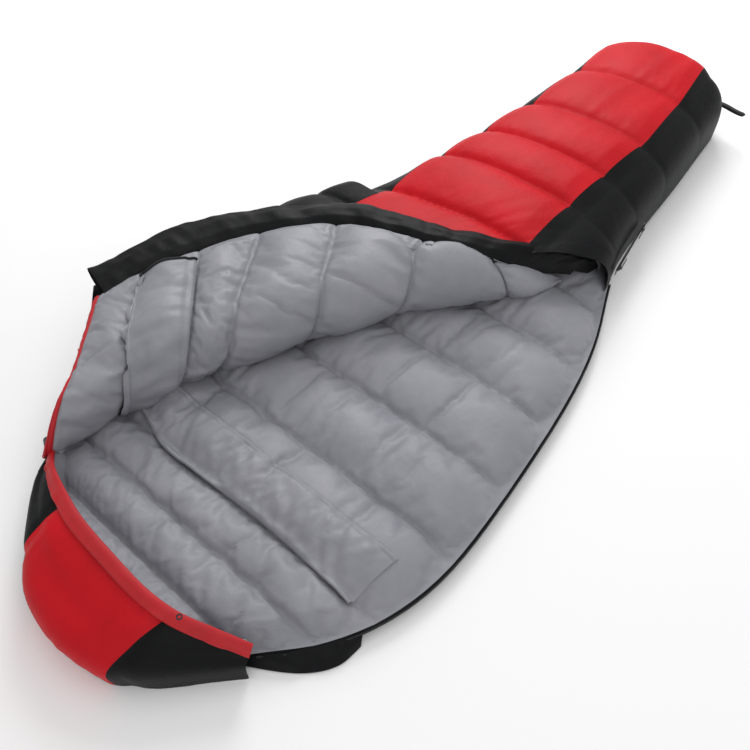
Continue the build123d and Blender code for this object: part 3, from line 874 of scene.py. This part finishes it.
for i in range(len(hood_along)):
    rim, wide, ground = hood_rim[i], hood_wide[i], hood_ground[i]
    depth = min(1.0, np.linalg.norm(rim - wide) / 0.12)
    mid = rim * 0.45 + wide * 0.55 + np.array([0, 0, 0.018]) * depth**2
    hood_grid[i] = curve_through([0, 0.45, 0.82, 1.0], [rim, mid, wide, ground], np.linspace(0, 1, HOOD_COLS))
hood_down = np.linspace(0, 1, HOOD_COLS)[None, :]
hood_run = hood_along[:, None] * 0.8
puckers = value_noise(hood_run * 60, hood_down * 2.5, 51) - 0.5
swell = value_noise(hood_run * 9, hood_down * 3.0, 52) - 0.5
near_rim = np.exp(-hood_down / 0.10)
near_ground = np.exp(-(1 - hood_down) / 0.2)
hood_height = 0.0026 * puckers * (near_rim + near_ground) + 0.006 * swell * np.sin(hood_down * math.pi)
for border in (0.26, 0.76):
    beside = np.abs(hood_along[:, None] - (border + 0.05 * (hood_down - 0.3)))
    hood_height = hood_height - 0.004 * np.exp(-((beside / 0.02) ** 2))
hood_grid = hood_grid + normals_of(hood_grid) * hood_height[:, :, None]
HOOD_LEFT, HOOD_RIGHT = 39, 113
hood_black_left = grid_piece("hood_black_left", hood_grid[: HOOD_LEFT + 1], black_taffeta)
hood_red = grid_piece("hood_red_panel", hood_grid[HOOD_LEFT : HOOD_RIGHT + 1], red_taffeta)
hood_black_right = grid_piece("hood_black_right", hood_grid[HOOD_RIGHT:], black_taffeta)
for pad, node, slot in (
    (hood_black_left, "hood_side_left", "black_shell"),
    (hood_red, "hood_centre_panel", "red_shell"),
    (hood_black_right, "hood_side_right", "black_shell"),
):
    quilted(pad, 0.6, slot, node)
print("hood", hood_grid.shape)

# %% [markdown]
# The inside of the cowl is lining too. It hangs from the rim down to the back lining, so the hood is a
# hollow that a head goes in.

# %% Hood inside and rim binding
inside_cols = 24
inside_grid = np.zeros((len(hood_along), inside_cols, 3))
for i in range(len(hood_along)):
    share = np.linspace(0, 1, inside_cols)[:, None]
    low = np.array([hood_rim[i][0] * 0.93, hood_rim[i][1] + 0.004, 0.036])
    belly = np.array([hood_wide[i][0] * 0.86, hood_wide[i][1] * 0.985 + 0.022, 0.060])
    start = hood_rim[i] - np.array([0, 0, 0.004])
    inside_grid[i] = (1 - share) ** 2 * start + 2 * share * (1 - share) * belly + share**2 * low
inside_down = np.linspace(0, 1, inside_cols)[None, :]
inside_dents = 0.004 * (value_noise(hood_run * 30, inside_down * 3, 53) - 0.5)
inside_grid = inside_grid + normals_of(inside_grid) * inside_dents[:, :, None]
hood_inside = grid_piece("hood_lining_cloth", inside_grid[:, ::-1], grey_satin)
quilted(hood_inside, 0.6, "grey_lining", "hood_lining", "hood_fill")


def binding(name, path, width, thick, lean, material, body):
    """A folded tape along a path: flat outside, rounded at its edge, with one stitched line along it."""
    path = np.asarray(path)
    side = unit(lean)
    over = unit(np.cross(unit(np.gradient(path, axis=0)), side))
    turn = np.linspace(0, 2 * math.pi, 21)
    reach = np.sign(np.cos(turn)) * np.abs(np.cos(turn)) ** 0.7 * width / 2
    lift = np.sin(turn) * thick / 2
    stitched = 1 - 0.45 * np.exp(-(((reach - width * 0.22) / (width * 0.07)) ** 2))
    run = run_along(path)
    ripple = 1 + 0.35 * (value_noise(run[:, None] * 55, turn[None, :] * 0.6, 61) - 0.5)
    points = (
        path[:, None]
        + side[:, None] * reach[None, :, None]
        + over[:, None] * (lift * stitched)[None, :, None] * ripple[:, :, None]
    )
    return grid_piece(name, points, material, body=body)


rim_lean = hood_grid[:, 4] - hood_grid[:, 0]
rim_path = hood_rim + unit(rim_lean) * 0.010 + np.array([0, 0.001, 0.003])
hood_edge_binding = binding("hood_rim_binding", rim_path, 0.027, 0.010, rim_lean, red_binding, "bag")
quilted(hood_edge_binding, 0.5, "red_binding", "hood_binding", "hood_drawcord")

# %% [markdown]
# ## Folded top quilt, shell side
# The red and black shell now faces down, on the chest quilt. Only its edge and its head end show.

# %% Shell of the folded quilt
UNDER_COLS = 40
under_rows = np.linspace(0.0, 7.2, 150)
under_in = curve_through(flap_keys, [r[2] for r in FLAP_ROWS], under_rows) * MM
under_out = curve_through([b[0] for b in BAND], [b[2] for b in BAND], under_rows * 1.15) * MM
under_grid = np.zeros((len(under_rows), UNDER_COLS, 3))
for i in range(len(under_rows)):
    share = np.linspace(0, 1, UNDER_COLS)
    start = under_in[i, 0] + 0.034
    across = start + (under_out[i, 0] * 0.94 - start) * share
    along = under_in[i, 1] + (under_out[i, 1] - under_in[i, 1]) * share
    cell = (4 * (under_rows[i] % 1.0) * (1 - under_rows[i] % 1.0)) ** 0.6
    sag = 0.012 * cell * np.sin(share * math.pi) ** 0.5
    height = np.minimum(under_in[i, 2] - 0.024, 0.164) - sag + 0.004 * share
    under_grid[i] = fold_to_bag(across, along, height)
under_across = np.linspace(0, 1, UNDER_COLS)[None, :]
under_grid[:, :, 2] += 0.006 * (value_noise(under_rows[:, None] * 4, under_across * 5, 71) - 0.5)
UNDER_CUT = 16
under_red = grid_piece("flap_red_panel", under_grid[:, : UNDER_CUT + 1][:, ::-1], red_taffeta, body="flap")
under_black = grid_piece("flap_black_panel", under_grid[:, UNDER_CUT:][:, ::-1], black_taffeta, body="flap")
quilted(under_red, 0.6, "red_shell", "flap_centre_panel")
quilted(under_black, 0.6, "black_shell", "flap_side_panel")

# %% [markdown]
# Inside the roll the shell doubles back on itself. As the fold travels, this cloth pays out.

# %% Shell inside the roll
inner_rows = np.linspace(0.1, 6.3, 125)
inner_top = curve_through(flap_keys, [r[2] for r in FLAP_ROWS], inner_rows) * MM
inner_cols = 46
inner_grid = np.zeros((len(inner_rows), inner_cols, 3))
for i in range(len(inner_rows)):
    turn = np.linspace(0, 1, inner_cols)
    cell = (4 * (inner_rows[i] % 1.0) * (1 - inner_rows[i] % 1.0)) ** 0.6
    across = np.interp(turn, [0, 0.6, 0.85, 1], [-0.105, -0.010, 0.012, 0.016])
    height = np.interp(turn, [0, 0.3, 0.6, 0.85, 1], [0.120, 0.136, 0.140, 0.132, 0.116])
    height = height + 0.012 * cell * np.sin(turn * math.pi) ** 0.5
    inner_grid[i] = fold_to_bag(across, inner_top[i, 1] + 0 * turn, height)
fold_cloth = grid_piece("fold_shell_cloth", inner_grid, red_taffeta, body=None)
quilted(fold_cloth, 0.5, "red_shell", "fold_shell")
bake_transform(fold_cloth)
print("shell side", under_grid.shape, inner_grid.shape)

# %% [markdown]
# ## Draft collars
# Two padded strips close round the neck. The one on the back is sewn down along its foot edge with two
# lines of stitches, and its head edge is free, so it stands up in a soft lip and puckers at the stitches.

# %% Back draft collar
LOW_ROWS, LOW_COLS = 40, 150
collar_x = np.linspace(-0.205, 0.376, LOW_COLS)
collar_share = np.linspace(0, 1, LOW_ROWS)


def lining_height(x, y):
    """Height of the back lining under a point."""
    at = np.clip(np.interp(y, lining_rows, np.arange(len(lining_rows))), 0, len(lining_rows) - 1.001)
    low_row = int(at)
    part = at - low_row
    row_a, row_b = lining_grid[low_row], lining_grid[low_row + 1]
    return (1 - part) * np.interp(x, row_a[:, 0], row_a[:, 2]) + part * np.interp(x, row_b[:, 0], row_b[:, 2])


collar_grid = np.zeros((LOW_ROWS, LOW_COLS, 3))
for i, share in enumerate(collar_share):
    free_y = -0.690 + 0.008 * np.sin(collar_x * 9) + 0.035 * smooth_step((-0.06 - collar_x) / 0.15)
    x = collar_x + 0.016 * share * smooth_step((collar_x - 0.30) / 0.07)
    y = free_y + (-0.584 - free_y) * share
    base = np.array([lining_height(a, b) for a, b in zip(x, y)])
    lip = 0.012 * np.exp(-((share / 0.10) ** 2))
    end_fade = smooth_step((0.376 - collar_x) / 0.03)
    fold = value_noise(collar_x * 42 + share * 2.2, share * 2.6 + 0 * collar_x, 81) - 0.5
    fine = value_noise(collar_x * 90 - share * 3, share * 3.5 + 0 * collar_x, 82) - 0.5
    slack = math.sin(share * math.pi) ** 0.5
    stitches = sum(-0.003 * math.exp(-(((share - line) / 0.02) ** 2)) for line in (0.90, 0.99))
    puckered = (0.011 + 0.012 * fold + 0.006 * fine) * slack * end_fade
    z = base + 0.004 + lip + puckered + stitches
    collar_grid[i] = np.stack([x, y, z], axis=1)
free_edge = collar_grid[:1].copy()
free_edge[:, :, 2] -= 0.011
free_edge[:, :, 1] += 0.003
tuck = collar_grid[:1].copy()
tuck[:, :, 1] -= 0.003
tuck[:, :, 2] -= 0.004
collar_grid = np.concatenate([free_edge, tuck, collar_grid])
back_collar = grid_piece("back_collar_cloth", collar_grid, grey_satin)
quilted(back_collar, 0.3, "grey_lining", "back_draft_collar")
print("back collar", collar_grid.shape)

# %% [markdown]
# The other collar crosses the folded part, from the black edge over the roll and down to the valley. It
# follows the lining a few millimetres above it. Its upper end is bound with black piping.

# %% Collar on the folded part
strip_rows = np.arange(int(0.96 * ROWS_PER_CELL), int(2.0 * ROWS_PER_CELL) + 1)
BARE_LINING = 40 * MM
START_COL = int(np.argmax(run_along(flap_grid[strip_rows[0]])[1:] > BARE_LINING))
strip = softened(flap_grid, 8)[strip_rows][:, START_COL:]
strip_share = np.linspace(0, 1, len(strip_rows))[:, None]
strip_run = np.cumsum(np.linalg.norm(np.diff(strip, axis=1, prepend=strip[:, :1]), axis=2), axis=1)
strip_fold = value_noise(strip_run * 34 + strip_share * 1.5, strip_share * 2.4 + 0 * strip_run, 91) - 0.5
strip_fine = value_noise(strip_run * 80, strip_share * 3 + 0 * strip_run, 92) - 0.5
strip_slack = np.sin(strip_share * math.pi) ** 0.6
strip_lift = 0.009 + 0.008 * np.exp(-((strip_share / 0.10) ** 2))
strip_lift = strip_lift + strip_slack * (0.004 + 0.009 * strip_fold + 0.005 * strip_fine)
for line, depth, wide in ((0.86, 0.004, 0.025), (1.0, 0.003, 0.03)):
    strip_lift = strip_lift - depth * np.exp(-(((strip_share - line) / wide) ** 2))
strip = strip + normals_of(strip) * strip_lift[:, :, None]
under_edge = strip[:1] - normals_of(strip)[:1] * 0.012
strip = np.concatenate([under_edge, strip])
STRIP_APEX = APEX - START_COL
collar_upper = grid_piece("flap_collar_cloth", strip[:, : STRIP_APEX + 1], grey_satin, body=None)
collar_lower = grid_piece("roll_collar_cloth", strip[:, STRIP_APEX:], grey_satin, body=None)
quilted(collar_upper, 0.3, "grey_lining", "flap_draft_collar")
quilted(collar_lower, 0.3, "grey_lining")
pays_out(collar_lower)
turns_over(collar_upper)


def cord_piece(name, path, radius, material, body, ring=10, ridge=0.0, pitch=0.0015):
    """A round strip along a path, with ridges along it where it is a coil or a braid."""
    path = np.asarray(path, float)
    run = run_along(path)
    step = pitch / 4 if ridge else max(radius, 0.001)
    stops = np.linspace(0, run[-1], max(8, int(run[-1] / step)))
    line = np.stack([np.interp(stops, run, path[:, k]) for k in range(3)], axis=1)
    ahead = unit(np.gradient(line, axis=0))
    up = np.array([0.05, 0.1, 1.0])
    side = unit(np.cross(ahead, up))
    over = np.cross(side, ahead)
    turn = np.linspace(0, 2 * math.pi, ring + 1)
    size = radius * (1 + ridge * np.sin(stops / pitch * 2 * math.pi))
    around = side[:, None] * np.cos(turn)[None, :, None] + over[:, None] * np.sin(turn)[None, :, None]
    points = line[:, None] + around * size[:, None, None]
    return grid_piece(name, points, material, body=body)


piping_path = strip[1:, 0] + np.array([0, 0, 0.002])
piping = cord_piece("collar_piping", piping_path, 0.0026, black_tape, "flap")
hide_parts("flap_collar_piping")
print("flap collar", strip.shape)

# %% [markdown]
# ## Chin binding
# The head edge of the folded part has the same red binding as the hood. It runs over the roll and down to
# the cord lock.

# %% Chin binding
chin_lean = flap_grid[0] - flap_grid[5] + np.array([0.0, 0.0, -0.006])
chin_path = flap_grid[0] + unit(chin_lean) * 0.003
chin_upper = binding(
    "chin_binding_upper", chin_path[: APEX + 1], 0.018, 0.009, chin_lean[: APEX + 1], red_binding, None
)
chin_lower = binding(
    "chin_binding_lower", chin_path[APEX:], 0.018, 0.009, chin_lean[APEX:], red_binding, None
)
quilted(chin_upper, 0.5, "red_binding", "chin_binding")
quilted(chin_lower, 0.5, "red_binding")
pays_out(chin_lower)
turns_over(chin_upper)

# %% [markdown]
# ## Zip
# The zip runs round the open side: a woven tape sewn to the edge, and a nylon coil on it with a tooth every
# 1.5 mm. Between the sliders the zip is closed, so there both coils mesh.

# %% Zip tape and coil
zip_y = np.linspace(-0.846, 0.262, 260)
zip_path = np.stack([side_x(zip_y, edge_right), zip_y, 0 * zip_y + EDGE_Z - 0.0015], axis=1)
zip_out = np.gradient(zip_path, axis=0)
zip_out = np.stack([zip_out[:, 1], -zip_out[:, 0], 0 * zip_y], axis=1)
zip_out = unit(zip_out)
zip_out = np.array([zip_out[max(0, i - 6) : i + 7].mean(axis=0) for i in range(len(zip_out))])
back_tape = binding(
    "back_zip_tape_cloth",
    zip_path - zip_out * 0.002,
    0.014,
    0.003,
    zip_out + np.array([0, 0, -0.5]),
    black_tape,
    "bag",
)
quilted(back_tape, 0.5, "zip_tape", "back_zip_tape")
back_coil = cord_piece(
    "back_zip_teeth",
    zip_path + zip_out * 0.003 + np.array([0, 0, 0.001]),
    0.0017,
    nylon_coil,
    "bag",
    ring=8,
    ridge=0.22,
)
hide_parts("back_zip_coil")

# %% [markdown]
# Beside the hood the underneath quilt carries a short black flap that covers the zip end when the bag is
# closed. Open, it lies out on the ground with a few soft folds.

# %% Zip end flap
TAB = [
    (0.0, (0.262, -0.862, 0.026), (0.296, -0.872, 0.004)),
    (0.2, (0.322, -0.836, 0.027), (0.352, -0.838, 0.003)),
    (0.45, (0.366, -0.786, 0.027), (0.392, -0.806, 0.003)),
    (0.75, (0.396, -0.742, 0.026), (0.420, -0.764, 0.003)),
    (1.0, (0.414, -0.700, 0.025), (0.426, -0.722, 0.004)),
]
tab_at = np.linspace(0, 1, 60)
tab_in = curve_through([t[0] for t in TAB], [t[1] for t in TAB], tab_at)
tab_out = curve_through([t[0] for t in TAB], [t[2] for t in TAB], tab_at)
tab_share = np.linspace(0, 1, 16)[None, :]
tab_grid = tab_in[:, None] * (1 - tab_share[:, :, None]) + tab_out[:, None] * tab_share[:, :, None]
tab_folds = value_noise(tab_at[:, None] * 11, tab_share * 2, 95) + 0.2
tab_grid[:, :, 2] += 0.006 * np.sin(tab_share * math.pi) * tab_folds
end_flap = grid_piece("zip_end_flap", tab_grid[:, ::-1], black_taffeta)
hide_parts("back_storm_flap")

# %% [markdown]
# ## Inside the leg part
# The leg tube is lined with the same satin, which shows in the dark mouth under the fold.

# %% Leg lining
inner_leg = leg_grid[30:-14:3, ::3].copy()
inner_leg = inner_leg - normals_of(inner_leg) * 0.030
inner_leg[:, :, 2] = np.clip(inner_leg[:, :, 2], 0.040, 0.14)
leg_inside = grid_piece("leg_lining_cloth", inner_leg[:, ::-1], grey_satin)
quilted(leg_inside, 0.6, "grey_lining", "leg_lining", "zip_draft_tube")
print("leg lining", inner_leg.shape)

# %% [markdown]
# ## Hanging loop
# A narrow webbing strap is doubled into a loop at the foot. It stands out on its own stiffness and curls.

# %% Loop
loop_share = np.linspace(0, 1, 90)
loop_out = np.array([0.976, -0.146, 0.0])
loop_side = np.array([0.146, 0.976, 0.0])
LOOP_REACH = 78 * MM
reach = LOOP_REACH * np.sin(loop_share * math.pi)
gap = 0.0033 * np.sign(0.5 - loop_share) * np.minimum(1.0, (LOOP_REACH - reach) / 0.006) ** 0.5
centre = np.array([0.217, 1.002, 0.084]) + loop_out * reach[:, None] + loop_side * 0.005
centre[:, 2] += gap + 0.0008 * np.sin(reach * 90)
loop_width = np.linspace(-0.0049, 0.0049, 9)
loop_grid = centre[:, None] + loop_width[None, :, None] * loop_side[None, None]
loop_grid[:, :, 2] += 0.0006 * np.sin(loop_width * 500)[None, :] * np.sin(reach * 50)[:, None]
strap = grid_piece("hanging_loop_strap", loop_grid, black_webbing, body="loop")
strap_skin = strap.modifiers.new("thickness", "SOLIDIFY")
strap_skin.thickness = 1.4 * MM
strap_skin.offset = 0.0
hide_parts("hanging_loop")

# %% [markdown]
# ## Hard parts
# The sliders, pulls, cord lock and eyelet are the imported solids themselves. They only get their finishes.

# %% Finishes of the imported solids
FINISHES = {
    "zip_chain": nylon_coil,
    "zip_bottom_stop": nylon_coil,
    "zip_top_stop": nylon_coil,
    "main_slider": black_enamel,
    "foot_slider": black_enamel,
    "main_pull": black_acetal,
    "foot_pull": black_acetal,
    "cord_lock_body": black_acetal,
    "cord_lock_button": black_acetal,
    "cord_lock_spring": sprung_steel,
    "hood_eyelet": nickel,
}
for node_name, finish in FINISHES.items():
    node_mesh = frame["nodes"][node_name].data
    node_mesh.materials.clear()
    node_mesh.materials.append(finish)
print("hard parts:", len(FINISHES))
